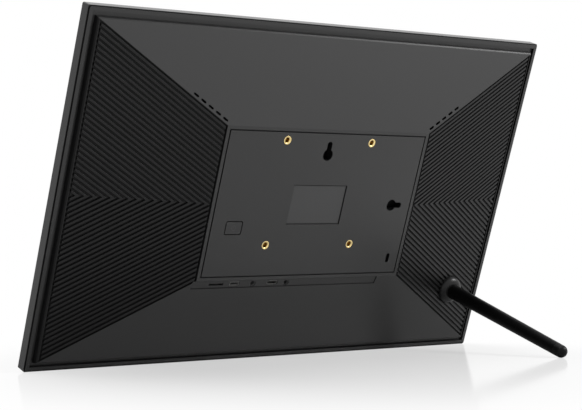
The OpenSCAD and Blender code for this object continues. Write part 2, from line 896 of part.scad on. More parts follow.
// Keyhole with its narrow slot pointing along +X, grown by g
module keyhole(g) {
    circle(key_head / 2 + g);
    translate([0, -key_slot / 2 - g]) square([key_run, key_slot + 2 * g]);
    translate([key_run, 0]) circle(key_slot / 2 + g);
}

module at_keyholes() {
    translate([0, 0, key_up]) rotate([0, -90, 0]) children();
    translate([-key_side, 0, 0]) rotate([0, 180, 0]) children();
}

// Room behind a keyhole for the screw's head
module key_room(g) {
    translate([key_run / 2, 0]) square([key_run + key_head + 2 * g, key_head + 2 * g], center = true);
}

module housing_bosses() {
    at_pattern() bar(0, 0, insert_d + 2 * boss_wall, insert_y - boss_wall, plateau_d - wall / 2);
    at_keyholes() slab(key_y - pocket_wall, plateau_d - wall / 2) key_room(pocket_wall);
    bar(leg_x, leg_z, collar_d + 2 * boss_wall, collar_seat - wall, plateau_d);
    lower_face() {
        translate([0, 0, -bezel_sink - bezel_t - bezel_seat_t]) linear_extrude(bezel_seat_t + bezel_t) strip(1.6);
        at_port_posts() translate([0, 0, port_board_z]) cylinder(d = 4.8, h = -port_board_z - wall / 2);
    }
}

module housing_cuts() {
    slab(plateau_d - groove_d, plateau_d + over) difference() {
        square([plateau_w - 2 * groove_in, plateau_h - 2 * groove_in], center = true);
        square([plateau_w - 2 * (groove_in + groove_w), plateau_h - 2 * (groove_in + groove_w)], center = true);
    }
    slab(plateau_d - plate_d, plateau_d + over) square([plate_w, plate_h], center = true);
    at_pattern() bar(0, 0, insert_d + 2 * fit, insert_y, plateau_d + over);
    at_keyholes() {
        slab(plateau_d - wall - over, plateau_d + over) keyhole(0);
        slab(key_y, plateau_d - wall) key_room(0);
    }
    slab(plateau_d - wall - over, plateau_d + over) translate([-lock_side, -lock_down]) rotate(90)
        slot(lock_h, lock_w);
    at_button() slab(plateau_d - wall - over, plateau_d + over) rounded(button_w, button_h, button_r);
    for (s = [-1, 1]) {
        side_face(s) rib_field();
        along_diagonal(s) for (i = [0:vent_count - 1])
            translate([vent_first + i * vent_pitch, -vent_off, -wall - over])
                linear_extrude(wall + 2 * over) slot(vent_len, vent_w);
    }
    bar(leg_x, leg_z, collar_d + 2 * fit, collar_seat, plateau_d + over);
    bar(leg_x, leg_z, sleeve_d + 2 * fit, collar_seat - wall - over, collar_seat + over);
    lower_face() {
        translate([0, 0, -bezel_sink - bezel_t]) linear_extrude(bezel_sink + bezel_t + over) strip(0);
        translate([0, 0, -bezel_sink - bezel_t - bezel_seat_t - over]) linear_extrude(20) strip(-bezel_seat);
        at_port_posts() translate([0, 0, port_board_z - over]) cylinder(d = screw_d + 2 * fit, h = 4.6);
    }
}

module back_cover() {
    color("#26262a") stand() difference() {
        union() {
            difference() {
                housing_solid();
                housing_hollow();
            }
            intersection() {
                housing_solid();
                housing_bosses();
            }
        }
        housing_cuts();
    }
}

module mount_inserts() {
    color("#d8b048") stand() at_pattern() difference() {
        bar(0, 0, insert_d, insert_y, plateau_d);
        bar(0, 0, insert_bore, insert_y - over, plateau_d + over);
    }
}

// --- leg -------------------------------------------------------------------------------------------

module leg_axis() {
    translate([leg_x, 0, leg_z]) rotate([-90, 0, 0]) children();
}

module leg_collar() {
    color("#303036") stand() leg_axis() difference() {
        union() {
            translate([0, 0, collar_seat]) rotate_extrude() {
                square([collar_d / 2, collar_y - collar_round - collar_seat]);
                square([collar_d / 2 - collar_round, collar_y - collar_seat]);
                translate([collar_d / 2 - collar_round, collar_y - collar_round - collar_seat]) intersection() {
                    circle(collar_round);
                    square(collar_round);
                }
            }
            translate([0, 0, sleeve_y]) cylinder(d = sleeve_d, h = collar_seat - sleeve_y + over);
        }
        translate([0, 0, sleeve_y + sleeve_floor]) cylinder(d = nut_d + 2 * fit, h = 40);
    }
}

module leg_nut() {
    color("#d8b048") stand() leg_axis() difference() {
        translate([0, 0, sleeve_y + sleeve_floor]) cylinder(d = nut_d, h = collar_y - sleeve_y - sleeve_floor);
        translate([0, 0, sleeve_y + sleeve_floor + 0.6]) cylinder(d = stud_d + 2 * fit, h = 40);
    }
}

function leg_r(y) = leg_root_d / 2 + (leg_foot_d - leg_root_d) / 2 * (y - leg_y) / (leg_reach - leg_y);

module leg_rod() {
    round = 1;
    color("#101012") stand() leg_axis() difference() {
        union() {
            rotate_extrude() {
                translate([0, leg_y]) square([leg_root_d / 2 - round, round]);
                translate([leg_root_d / 2 - round, leg_y + round]) circle(round);
                polygon([[0, leg_y + round], [leg_r(leg_y + round), leg_y + round], [leg_r(foot_y0), foot_y0],
                         [0, foot_y0]]);
            }
            translate([0, 0, foot_y0 - over]) cylinder(d = foot_peg, h = foot_len - 2 + over);
        }
        translate([0, 0, leg_y - over]) cylinder(d = stud_d + 2 * fit, h = stud_in + over);
    }
}

module leg_stud() {
    color("#b0b0b4") stand() leg_axis() translate([0, 0, stud_y])
        cylinder(d = stud_d, h = leg_y + stud_in - stud_y);
}

module leg_foot() {
    color("#0c0c0c") stand() leg_axis() difference() {
        rotate_extrude() {
            polygon([[0, foot_y0 + touch], [leg_r(foot_y0), foot_y0 + touch], [foot_r, leg_reach], [0, leg_reach]]);
            translate([0, leg_reach]) intersection() {
                circle(foot_r);
                square(foot_r);
            }
        }
        translate([0, 0, foot_y0 - over]) cylinder(d = foot_peg + 2 * fit, h = foot_len - 2 + over + fit);
    }
}

front_frame();
cover_glass();
panel_gasket();
lcd_cell();
optical_films();
light_guide();
led_strip();
reflector_sheet();
lcd_back_tray();
panel_screws();
timing_board();
display_cable();
main_board();
board_screws();
processor();
thermal_pad();
heat_sink();
memory_chips();
wifi_module();
wifi_antenna();
antenna_cable();
tact_switch();
switch_plunger();
port_board();
port_screws();
port_cable();
card_slot();
micro_usb_socket();
audio_jack();
usb_c_socket();
dc_jack();
port_bezel();
speaker_right();
speaker_left();
speaker_gaskets();
speaker_wires();
back_cover();
mount_inserts();
power_button();
leg_collar();
leg_nut();
leg_rod();
leg_stud();
leg_foot();
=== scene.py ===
# %% [markdown]
# # Dressing a digital picture frame
# The frame leans back on its lower edge and on one rod leg that screws into its ribbed back. Every
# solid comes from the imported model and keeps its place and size. This script gives each solid its
# finish, adds the few details that are too fine for the solids, and sets up a plain pale studio.
# Lengths are metres, +Z is up and +Y points out of the frame's back.

# %% Load the model and keep its box
import math
import bpy
import bmesh
from mathutils import Matrix, Vector


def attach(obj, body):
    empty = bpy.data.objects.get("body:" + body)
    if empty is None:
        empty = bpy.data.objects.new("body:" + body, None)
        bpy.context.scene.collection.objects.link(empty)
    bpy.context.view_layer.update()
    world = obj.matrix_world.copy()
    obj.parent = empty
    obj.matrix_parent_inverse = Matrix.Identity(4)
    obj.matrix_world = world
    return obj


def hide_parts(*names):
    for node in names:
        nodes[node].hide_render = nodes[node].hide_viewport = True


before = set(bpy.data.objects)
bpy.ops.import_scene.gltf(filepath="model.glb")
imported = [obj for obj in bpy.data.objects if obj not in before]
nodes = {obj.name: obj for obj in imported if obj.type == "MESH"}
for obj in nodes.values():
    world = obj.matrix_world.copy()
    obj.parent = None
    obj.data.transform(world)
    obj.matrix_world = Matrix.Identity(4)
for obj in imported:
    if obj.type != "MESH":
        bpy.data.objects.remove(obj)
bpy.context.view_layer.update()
MM = 0.001
MICRON = 0.001 * MM

# %% [markdown]
# The camera stands low behind the frame, a little to its right as seen from behind, with a long
# lens. A long lens keeps the frame's edges nearly parallel, as a catalogue picture does. The view is
# given by where the camera stands and the point it looks at, so no angles have to be typed in.

# %% Camera
def aim(thing, target):
    """Turns a camera or a lamp so that it looks at a point."""
    thing.rotation_euler = (Vector(target) - thing.location).to_track_quat("-Z", "Y").to_euler()

camera = bpy.data.objects.new("camera", bpy.data.cameras.new("camera"))
bpy.context.scene.collection.objects.link(camera)
stands_at = (0.7475, 0.9032, 0.1026)
looks_at = (-0.0139, -0.0564, 0.1088)
camera.location = stands_at
aim(camera, looks_at)
camera.data.lens = 105.5
camera.data.sensor_width = 36
camera.data.clip_end = 20
bpy.context.scene.camera = camera
print("camera to object:", round(camera.location.length, 3), "m")

# %% [markdown]
# The solids are modelled upright and then leaned back. For the details added here it is easiest to
# work in that upright frame too: X runs across, Y out of the back from the rear rim, Z up from
# mid-height. One matrix leans them, and its angle is measured from the cover glass, whose two
# largest flat faces give the direction of the front.

# %% The upright frame of the picture frame
glass_front = max(nodes["cover_glass"].data.polygons, key=lambda face: face.area)
lean = math.atan2(abs(glass_front.normal.z), abs(glass_front.normal.y))

def upright_point(p):
    """A point or direction of the leaned model in the upright axes: across, depth, height."""
    return Matrix.Rotation(lean, 3, "X") @ Vector(p)

def leaned_point(p):
    """The reverse: from the upright axes back into the leaned model's."""
    return Matrix.Rotation(-lean, 3, "X") @ Vector(p)

def extent(points):
    """Lowest and highest corner of the box round some points."""
    return [Vector([pick(p[i] for p in points) for i in range(3)]) for pick in (min, max)]

def upright_extent(node):
    return extent([upright_point(v.co) for v in nodes[node].data.vertices])

def lean_back(obj):
    """Turns an object made in the upright axes into the leaned model's axes."""
    obj.data.transform(Matrix.Rotation(-lean, 4, "X"))
    return obj

print("the frame leans back", round(math.degrees(lean), 2), "degrees")

# %% [markdown]
# The solids arrive with flat shading. Their curved faces are separate patches, so smooth shading
# rounds each cylinder and still leaves the edge between two patches crisp. Only the shading flag is
# changed: the points stay where they are. The glass is a plain sheet, whose wide face mirrors the
# room, so it stays flat.

# %% Smooth shading on every solid
for label, solid in nodes.items():
    solid.data.polygons.foreach_set("use_smooth", [label != "cover_glass"] * len(solid.data.polygons))
    solid.data.update()
print("smooth:", len(nodes))

# %% [markdown]
# Several finishes share the same small effects, so each effect is one node group. A group only puts
# out a height, a mask or a normal, and every material decides what to do with it.
#
# Moulded plastic carries the fine grain of its steel mould. It could be painted on or sculpted, but
# a noise in object coordinates costs nothing and never shows a seam.

# %% Helpers for node groups
def new_group(name, inputs, outputs):
    """An empty shader group with named inputs (name, kind, value) and outputs (name, kind)."""
    group = bpy.data.node_groups.new(name, "ShaderNodeTree")
    for label, kind, value in inputs:
        socket = group.interface.new_socket(name=label, in_out="INPUT", socket_type=kind)
        socket.default_value = value
    for label, kind in outputs:
        group.interface.new_socket(name=label, in_out="OUTPUT", socket_type=kind)
    return group, group.nodes.new("NodeGroupInput"), group.nodes.new("NodeGroupOutput")

FLOAT = "NodeSocketFloat"
VECTOR = "NodeSocketVector"

def feed(tree, socket, value):
    """Gives an input a plain value, or links it if the value is another node's output."""
    if isinstance(value, bpy.types.NodeSocket):
        tree.links.new(value, socket)
    else:
        socket.default_value = value

def math_node(tree, operation, a, b=0.0, clamp=False):
    """One maths step in a node tree; a and b are sockets or plain numbers."""
    step = tree.nodes.new("ShaderNodeMath")
    step.operation = operation
    step.use_clamp = clamp
    feed(tree, step.inputs[0], a)
    feed(tree, step.inputs[1], b)
    return step.outputs[0]

def vector_node(tree, operation, a, b):
    """One step on two vectors: the value of a dot product, or else the resulting vector."""
    step = tree.nodes.new("ShaderNodeVectorMath")
    step.operation = operation
    feed(tree, step.inputs[0], a)
    feed(tree, step.inputs[1], b)
    return step.outputs["Value" if operation == "DOT_PRODUCT" else "Vector"]

def ramp_node(tree, value, low, high, least=0.0, most=1.0, kind="LINEAR"):
    """Goes from least to most while the value goes from low to high, and stays inside."""
    ramp = tree.nodes.new("ShaderNodeMapRange")
    ramp.interpolation_type = kind
    for label, number in (("From Min", low), ("From Max", high), ("To Min", least), ("To Max", most)):
        ramp.inputs[label].default_value = number
    tree.links.new(value, ramp.inputs["Value"])
    return ramp.outputs["Result"]

def noise_node(tree, scale, detail, roughness, vector):
    noise = tree.nodes.new("ShaderNodeTexNoise")
    for label, value in (("Scale", scale), ("Detail", detail), ("Roughness", roughness), ("Vector", vector)):
        feed(tree, noise.inputs[label], value)
    return noise.outputs["Fac"]

def split_axes(tree, vector):
    """The x, y and z of a vector as outputs named X, Y and Z."""
    axes = tree.nodes.new("ShaderNodeSeparateXYZ")
    tree.links.new(vector, axes.inputs[0])
    return axes.outputs

def coordinates(tree, kind="Object"):
    return tree.nodes.new("ShaderNodeTexCoord").outputs[kind]

print("node helpers ready")

# %% Group: moulded grain
def make_moulded_grain():
    group, start, end = new_group(
        "moulded grain",
        [("Grain per metre", FLOAT, 2600.0), ("Cloud per metre", FLOAT, 18.0)],
        [("Height", FLOAT), ("Cloud", FLOAT)],
    )
    place = coordinates(group)
    fine = noise_node(group, start.outputs["Grain per metre"], 2.0, 0.6, place)
    coarse = noise_node(group, start.outputs["Cloud per metre"], 3.0, 0.55, place)
    group.links.new(fine, end.inputs["Height"])
    group.links.new(coarse, end.inputs["Cloud"])
    return group

MOULDED_GRAIN = make_moulded_grain()
print("group:", MOULDED_GRAIN.name)

# %% [markdown]
# No moulded or machined edge is perfectly sharp: a radius of a few tenths of a millimetre catches a
# thin line of light. Rounding the mesh would change the solids, so the edge is rounded in the
# shading instead. The same rounded normal, compared with the true one, tells where an edge is, and
# that mask lets a material polish or pale its edges a little, as handling does.

# %% Group: soft edges and worn edges
EDGE_CONTRAST = 4.0

def make_soft_edges():
    group, start, end = new_group(
        "soft edges",
        [("Radius", FLOAT, 0.0003)],
        [("Normal", VECTOR), ("Edge", FLOAT)],
    )
    rounded = group.nodes.new("ShaderNodeBevel")
    rounded.samples = 4
    group.links.new(start.outputs["Radius"], rounded.inputs["Radius"])
    true_normal = group.nodes.new("ShaderNodeNewGeometry").outputs["Normal"]
    match = vector_node(group, "DOT_PRODUCT", rounded.outputs["Normal"], true_normal)
    turned_away = math_node(group, "SUBTRACT", 1.0, match, clamp=True)
    edge = math_node(group, "MULTIPLY", turned_away, EDGE_CONTRAST, clamp=True)
    group.links.new(rounded.outputs["Normal"], end.inputs["Normal"])
    group.links.new(edge, end.inputs["Edge"])
    return group

SOFT_EDGES = make_soft_edges()
print("group:", SOFT_EDGES.name)

# %% [markdown]
# A groove a millimetre or two wide shows nothing but its own dark walls. This group masks the clear
# coat's sheen with painted shade and painted light. The first mask is how much open space a point
# sees close by; where there is little, as in grooves, the sheen fades as painted shade. A second picks
# the faces that lean sideways, with their ribs, and a third the steep narrow faces and the chamfers at
# the foot of the slopes; both lose sheen as painted shade. Painted light keeps the sheen where light
# falls from above: on a groove's wall that faces straight up, and in the trough along the top edge,
# which lies above a given height.

# %% Group: painted sheen mask, painted shade and painted light
GROOVE, OPEN_FIELD = 0.66, 0.94
SIDEWAYS, STEEP_SIDE = (0.03, 0.07), (0.25, 0.45)
TILTED_UP, STRAIGHT_UP = (0.15, 0.35), (0.50, 0.65)
CHAMFER_SHADE = 0.66
TOP_BAND = 4 * MM
NEVER = 10.0

def make_painted_sheen_mask():
    group, start, end = new_group(
        "painted sheen mask",
        [("Reach", FLOAT, 1.3 * MM), ("Lit above", FLOAT, NEVER)],
        [("Open", FLOAT), ("Sideways", FLOAT), ("Steep", FLOAT)],
    )
    around = group.nodes.new("ShaderNodeAmbientOcclusion")
    around.samples = 6
    group.links.new(start.outputs["Reach"], around.inputs["Distance"])
    # Painted shade: the sheen fades in grooves, where little open space is near.
    opened = ramp_node(group, around.outputs["AO"], GROOVE, OPEN_FIELD)
    facing = split_axes(group, coordinates(group, "Normal"))
    across = math_node(group, "ABSOLUTE", facing["X"])
    # Painted shade also falls on faces that lean sideways and on steep ones.
    sideways, steep_side = [ramp_node(group, across, *span) for span in (SIDEWAYS, STEEP_SIDE)]
    tilted_up, straight_up = [ramp_node(group, facing["Z"], *span) for span in (TILTED_UP, STRAIGHT_UP)]
    place = split_axes(group, coordinates(group))
    height = math_node(group, "SUBTRACT", place["Z"], start.outputs["Lit above"])
    near_top = math_node(group, "DIVIDE", height, TOP_BAND, clamp=True)
    # Painted light: faces turned straight up, and the band above the given height, keep their sheen.
    lit = math_node(group, "MULTIPLY", math_node(group, "MAXIMUM", straight_up, near_top),
                    math_node(group, "SUBTRACT", 1.0, sideways))
    # Painted shade: chamfers that tilt up lose part of their sheen.
    chamfer = math_node(group, "MULTIPLY", math_node(group, "SUBTRACT", tilted_up, straight_up), CHAMFER_SHADE)
    group.links.new(math_node(group, "MAXIMUM", opened, lit), end.inputs["Open"])
    group.links.new(sideways, end.inputs["Sideways"])
    group.links.new(math_node(group, "MAXIMUM", steep_side, chamfer), end.inputs["Steep"])
    return group

PAINTED_SHEEN_MASK = make_painted_sheen_mask()
print("group:", PAINTED_SHEEN_MASK.name)

# %% [markdown]
# A little dust settles on what faces up. The mask is the upward part of the surface's normal times a
# broken noise, so it thins out and never reads as paint.

# %% Group: settled dust
SPECKS_PER_METRE = 900.0

def make_dust():
    group, start, end = new_group("settled dust", [("Amount", FLOAT, 0.3)], [("Mask", FLOAT)])
    facing = split_axes(group, group.nodes.new("ShaderNodeNewGeometry").outputs["Normal"])
    upward = math_node(group, "POWER", math_node(group, "MAXIMUM", facing["Z"], 0.0), 2.0)
    specks = noise_node(group, SPECKS_PER_METRE, 4.0, 0.7, coordinates(group))
    broken = math_node(group, "MULTIPLY", upward, specks)
    mask = math_node(group, "MULTIPLY", broken, start.outputs["Amount"], clamp=True)
    group.links.new(mask, end.inputs["Mask"])
    return group

DUST = make_dust()
print("group:", DUST.name)

# %% [markdown]
# Rolled and turned metal shows fine parallel lines. Stretching a noise strongly along one axis gives
# them; the axis is chosen for each piece by the stretch.

# %% Group: drawn lines
def make_drawn_lines():
    group, start, end = new_group(
        "drawn lines",
        [("Stretch", VECTOR, (1.0, 30.0, 30.0)), ("Lines per metre", FLOAT, 120.0)],
        [("Height", FLOAT)],
    )
    pulled = vector_node(group, "MULTIPLY", coordinates(group), start.outputs["Stretch"])
    lines = noise_node(group, start.outputs["Lines per metre"], 3.0, 0.6, pulled)
    group.links.new(lines, end.inputs["Height"])
    return group

DRAWN_LINES = make_drawn_lines()
print("group:", DRAWN_LINES.name)

# %% [markdown]
# A material starts from a plain physically based shader. Its constant values sit on the shader's own
# sockets. Small helpers then add what varies: a tint that drifts between two near colours, a
# roughness that drifts with it, a bump from the grain and the rounded edges.

# %% Helpers for materials
# The mix node's sockets share names between its kinds, so its colour ones are picked by number.
MIX_FACTOR, MIX_LOW, MIX_HIGH, MIX_COLOR = 0, 6, 7, 2

def grey(level):
    """A grey with a trace of blue."""
    return (level, level, level * 1.02, 1.0)

def start_material(name, color, roughness, metallic=0.0, specular=0.5):
    material = bpy.data.materials.new(name)
    material.use_nodes = True
    shader = material.node_tree.nodes["Principled BSDF"]
    shader.inputs["Base Color"].default_value = color
    shader.inputs["Roughness"].default_value = roughness
    shader.inputs["Metallic"].default_value = metallic
    shader.inputs["Specular IOR Level"].default_value = specular
    material.diffuse_color = color
    return material, material.node_tree, shader

def add_group(tree, group, **values):
    """Puts a group into a material; a value is named as its input, with _ for each space."""
    node = tree.nodes.new("ShaderNodeGroup")
    node.node_tree = group
    for label, value in values.items():
        node.inputs[label.replace("_", " ")].default_value = value
    return node

def blend_color(tree, shader, mask, low, high):
    """Base colour goes from low to high with a mask; each is a colour or an output."""
    mix = tree.nodes.new("ShaderNodeMix")
    mix.data_type = "RGBA"
    tree.links.new(mask, mix.inputs[MIX_FACTOR])
    feed(tree, mix.inputs[MIX_LOW], low)
    feed(tree, mix.inputs[MIX_HIGH], high)
    tree.links.new(mix.outputs[MIX_COLOR], shader.inputs["Base Color"])

def cover_color(tree, shader, mask, color):
    """Lays one more colour over the base colour where a mask says."""
    blend_color(tree, shader, mask, shader.inputs["Base Color"].links[0].from_socket, color)

def drift_roughness(tree, shader, mask, low, high):
    tree.links.new(ramp_node(tree, mask, 0.0, 1.0, low, high), shader.inputs["Roughness"])

def add_bump(tree, shader, height, depth, strength, normal=None):
    """Bump of a given depth in metres, over the rounded edge normal if there is one."""
    bump = tree.nodes.new("ShaderNodeBump")
    bump.inputs["Strength"].default_value = strength
    bump.inputs["Distance"].default_value = depth
    tree.links.new(height, bump.inputs["Height"])
    if normal is not None:
        tree.links.new(normal, bump.inputs["Normal"])
    tree.links.new(bump.outputs["Normal"], shader.inputs["Normal"])

def add_coat_with_painted_shade(tree, shader, roughness, gloss, matt_sides=0.0, matt_steep=0.0, lit_above=NEVER):
    """Sheen as a clear coat that fades, as painted shade, in grooves, on faces that lean sideways and on
    steep ones; painted light keeps it where light falls from above.
    """
    # Painted shade and painted light set how much of the coat shows.
    mask = add_group(tree, PAINTED_SHEEN_MASK, Lit_above=lit_above)
    shine = math_node(tree, "MULTIPLY", mask.outputs["Open"], gloss)
    for output, matt in (("Sideways", matt_sides), ("Steep", matt_steep)):
        kept = math_node(tree, "SUBTRACT", 1.0, math_node(tree, "MULTIPLY", mask.outputs[output], matt))
        shine = math_node(tree, "MULTIPLY", shine, kept)
    tree.links.new(shine, shader.inputs["Coat Weight"])
    shader.inputs["Coat Roughness"].default_value = roughness

def dress(material, *names):
    """Gives a material to CAD nodes by name."""
    for name in names:
        solid = nodes[name]
        solid.data.materials.clear()
        solid.data.materials.append(material)

print("material helpers ready")

# %% [markdown]
# ## Moulded plastics
# The rear housing and the front surround are black engineering plastic, moulded with a fine satin
# grain. All plastics use one recipe: a base colour, its roughness, the grain as a bump a few
# micrometres deep, slightly polished edges and a trace of dust. The near-black ones hardly mirror
# by themselves; their sheen is the clear coat.

# %% Moulded plastic recipe
CLOUDS_PER_METRE = 16.0
DUST_GREY = 0.25

def moulded_plastic(name, level, roughness, specular, grain=2600.0, depth=12 * MICRON, edge=0.3 * MM,
                    **sheen):
    material, tree, shader = start_material(name, grey(level), roughness, 0.0, specular)
    # The coat's sheen is masked with painted shade and painted light.
    if sheen:
        add_coat_with_painted_shade(tree, shader, roughness, **sheen)
    texture = add_group(tree, MOULDED_GRAIN, Grain_per_metre=grain, Cloud_per_metre=CLOUDS_PER_METRE)
    edges = add_group(tree, SOFT_EDGES, Radius=edge)
    blend_color(tree, shader, texture.outputs["Cloud"], grey(level * 0.92), grey(level * 1.08))
    cover_color(tree, shader, edges.outputs["Edge"], grey(level * 1.5))
    settled = add_group(tree, DUST, Amount=0.12)
    cover_color(tree, shader, settled.outputs["Mask"], grey(DUST_GREY))
    drift_roughness(tree, shader, texture.outputs["Cloud"], roughness - 0.04, roughness + 0.04)
    add_bump(tree, shader, texture.outputs["Height"], depth, 0.6, edges.outputs["Normal"])
    return material

print("plastic recipe ready")

# %% Black plastics of the outside
NEAR_BLACK, SATIN, FAINT = 0.012, 0.38, 0.06
SATIN_BLACK = (NEAR_BLACK, SATIN, FAINT)
TROUGH_BELOW_TOP = 12 * MM

housing_top = max(v.co.z for v in nodes["back_cover"].data.vertices)
# Painted shade takes sheen off sideways and steep faces; on the housing, painted light keeps it in the trough
# along the top.
housing_plastic = moulded_plastic("housing plastic", *SATIN_BLACK, edge=0.5 * MM, gloss=1.0, matt_sides=0.6,
                                  matt_steep=0.85, lit_above=housing_top - TROUGH_BELOW_TOP)
frame_plastic = moulded_plastic("frame plastic", *SATIN_BLACK, gloss=1.0, matt_sides=0.45)
bezel_plastic = moulded_plastic("strip plastic", *SATIN_BLACK, edge=0.1 * MM, gloss=1.0)
button_plastic = moulded_plastic("button plastic", *SATIN_BLACK, gloss=1.0)
collar_plastic = moulded_plastic("collar plastic", 0.014, 0.32, 0.14, depth=6 * MICRON, edge=0.4 * MM,
                                 gloss=0.2)
dress(housing_plastic, "back_cover")
dress(frame_plastic, "front_frame")
dress(bezel_plastic, "port_bezel")
dress(button_plastic, "power_button")
dress(collar_plastic, "leg_collar")
print("housing reaches up to", round(housing_top / MM, 1), "mm")

# %% [markdown]
# ## Blank label
# The shallow recess in the middle of the plateau takes a rating label. A thin plastic sheet lies in
# it, a little smaller than the recess, with nothing printed on it. Its place is measured from the
# housing: the recess floor is the large flat face just below the plateau.

# %% Finding the recess
FACES_OUT = 0.99
RECESS_DEPTHS = (0.3 * MM, 1.2 * MM)
RECESS_HALF_WIDTH = 30 * MM

def upright_faces(node):
    """Direction and corners of each flat face of a node, in the upright axes."""
    mesh = nodes[node].data
    for face in mesh.polygons:
        yield upright_point(face.normal), [upright_point(mesh.vertices[i].co) for i in face.vertices]

def find_recess():
    faces = list(upright_faces("back_cover"))
    level = max(p.y for facing, corners in faces for p in corners)
    least, most = RECESS_DEPTHS
    spots = [p for facing, corners in faces if facing.y > FACES_OUT for p in corners
             if least < level - p.y < most and abs(p.x) < RECESS_HALF_WIDTH]
    return level, *extent(spots)

plateau_level, recess_low, recess_high = find_recess()
print("recess in mm:", [round(v / MM, 1) for v in recess_high - recess_low])
print("recess depth in mm:", round((plateau_level - recess_high.y) / MM, 2))

# %% Label sheet in the recess
def to_object(name, mesh):
    """Makes a scene object from a bmesh and frees the bmesh."""
    data = bpy.data.meshes.new(name)
    mesh.to_mesh(data)
    mesh.free()
    obj = bpy.data.objects.new(name, data)
    bpy.context.scene.collection.objects.link(obj)
    return obj

def upright_box(name, low, high):
    """A box given in the upright axes, leaned back with the model."""
    mesh = bmesh.new()
    bmesh.ops.create_cube(mesh, size=1.0)
    for vertex in mesh.verts:
        vertex.co = [low[i] + (vertex.co[i] + 0.5) * (high[i] - low[i]) for i in range(3)]
    return lean_back(to_object(name, mesh))

margin, sunk, thick = 0.5 * MM, 0.05 * MM, 0.25 * MM
label = upright_box(
    "blank_label",
    (recess_low.x + margin, recess_high.y - sunk, recess_low.z + margin),
    (recess_high.x - margin, recess_high.y + thick, recess_high.z - margin),
)
label_film = moulded_plastic("label film", 0.034, SATIN, FAINT, grain=1500.0, depth=6 * MICRON,
                             edge=0.1 * MM, gloss=1.0)
label.data.materials.append(label_film)
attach(label, "frame")
print("label in mm:", [round(v / MM, 2) for v in label.dimensions])

# %% [markdown]
# ## Brass inserts
# Four threaded brass inserts take the screws of a wall bracket. The solids are plain rings. A
# real insert has a chamfered mouth and a thread. Each is built here as one turned profile, whose
# rows are the chamfer and the thread's ridges. The thread is drawn as closed ridges, which look the
# same as a helix at this size. The outside is hidden in the housing and stays plain.

# %% Turned pieces from a profile
AXIS_RADIUS = 0.0001 * MM

def round_point(radius, turn, height):
    return radius * math.cos(turn), radius * math.sin(turn), height

def turned(name, profile, columns):
    """Revolves (radius, height) rows about the height axis."""
    mesh = bmesh.new()
    rings = []
    for radius, height in profile:
        turns = [2 * math.pi * c / columns for c in range(columns)]
        rings.append([mesh.verts.new(round_point(radius, turn, height)) for turn in turns])
    for low, high in zip(rings, rings[1:]):
        for c in range(columns):
            d = (c + 1) % columns
            mesh.faces.new((low[c], low[d], high[d], high[c]))
    bmesh.ops.recalc_face_normals(mesh, faces=mesh.faces)
    obj = to_object(name, mesh)
    obj.data.polygons.foreach_set("use_smooth", [True] * len(obj.data.polygons))
    return obj

def face_out(data, at, direction):
    """Stands a turned piece at a point with its height axis along a direction."""
    turn = Vector((0, 0, 1)).rotation_difference(Vector(direction)).to_matrix().to_4x4()
    data.transform(Matrix.Translation(at) @ turn)

OUT = leaned_point((0, 1, 0))
print("out of the back:", [round(v, 3) for v in OUT])

# %% Insert profile: floor, threaded bore, chamfered mouth, outside
FLOOR_THICKNESS = 0.5 * MM
THREAD_TOP, THREAD_DEPTH = -0.75 * MM, 0.28 * MM
MOUTH = -0.05 * MM

def insert_rows(outer, core, length, pitch):
    """Rows of (radius, height) from the closed floor up the bore and down the outside."""
    floor_height = FLOOR_THICKNESS - length
    rows = [(AXIS_RADIUS, floor_height), (core, floor_height)]
    ridges = int((length - 1.5 * MM) / pitch)
    for i in range(ridges):
        z = THREAD_TOP - (ridges - i) * pitch
        rows += [(core, z), (core + THREAD_DEPTH, z + pitch * 0.5)]
    rows += [(core, THREAD_TOP), (core + 0.1 * MM, -0.55 * MM), (core + 0.55 * MM, MOUTH)]
    rows += [(outer - 0.12 * MM, MOUTH), (outer, MOUTH - 0.12 * MM), (outer, -1.0 * MM)]
    rows += [(outer, 0.2 * MM - length), (outer - 0.2 * MM, -length)]
    return rows

RING_RADIUS, BORE_RADIUS, PITCH = 3.1 * MM, 1.7 * MM, 0.7 * MM
low, high = upright_extent("mount_inserts")
left, right = low.x + RING_RADIUS, high.x - RING_RADIUS
bottom, top = low.z + RING_RADIUS, high.z - RING_RADIUS
inserts = []
for x, z in ((left, bottom), (left, top), (right, bottom), (right, top)):
    rows = insert_rows(RING_RADIUS, BORE_RADIUS, high.y - low.y, PITCH)
    ring = turned("insert_" + str(len(inserts) + 1), rows, 72)
    face_out(ring.data, leaned_point((x, high.y, z)), OUT)
    inserts.append(ring)
print("insert spacing in mm:", round((right - left) / MM, 2), round((top - bottom) / MM, 2))

# %% Brass
def make_brass():
    material, tree, shader = start_material("brass", (0.90, 0.70, 0.32, 1.0), 0.26, 1.0)
    lines = add_group(tree, DRAWN_LINES, Lines_per_metre=700.0, Stretch=(1.0, 1.0, 1.0))
    texture = add_group(tree, MOULDED_GRAIN, Grain_per_metre=1500.0, Cloud_per_metre=300.0)
    blend_color(tree, shader, texture.outputs["Cloud"], (0.84, 0.62, 0.25, 1.0), (0.94, 0.76, 0.38, 1.0))
    drift_roughness(tree, shader, lines.outputs["Height"], 0.16, 0.34)
    add_bump(tree, shader, lines.outputs["Height"], 6 * MICRON, 0.5)
    return material

brass = make_brass()
for ring in inserts:
    ring.data.materials.append(brass)
    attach(ring, "frame")
    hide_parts("mount_inserts")
dress(brass, "leg_nut")
print("inserts:", len(inserts))

# %% [markdown]
# ## Leg
# The rod is metal with a baked satin paint, very slightly uneven. The foot is soft rubber. The stud
# that screws into the collar only shows when the leg comes out, and then its thread is what the eye
# looks for, so it gets a real helix: rows of points climb as they go round.

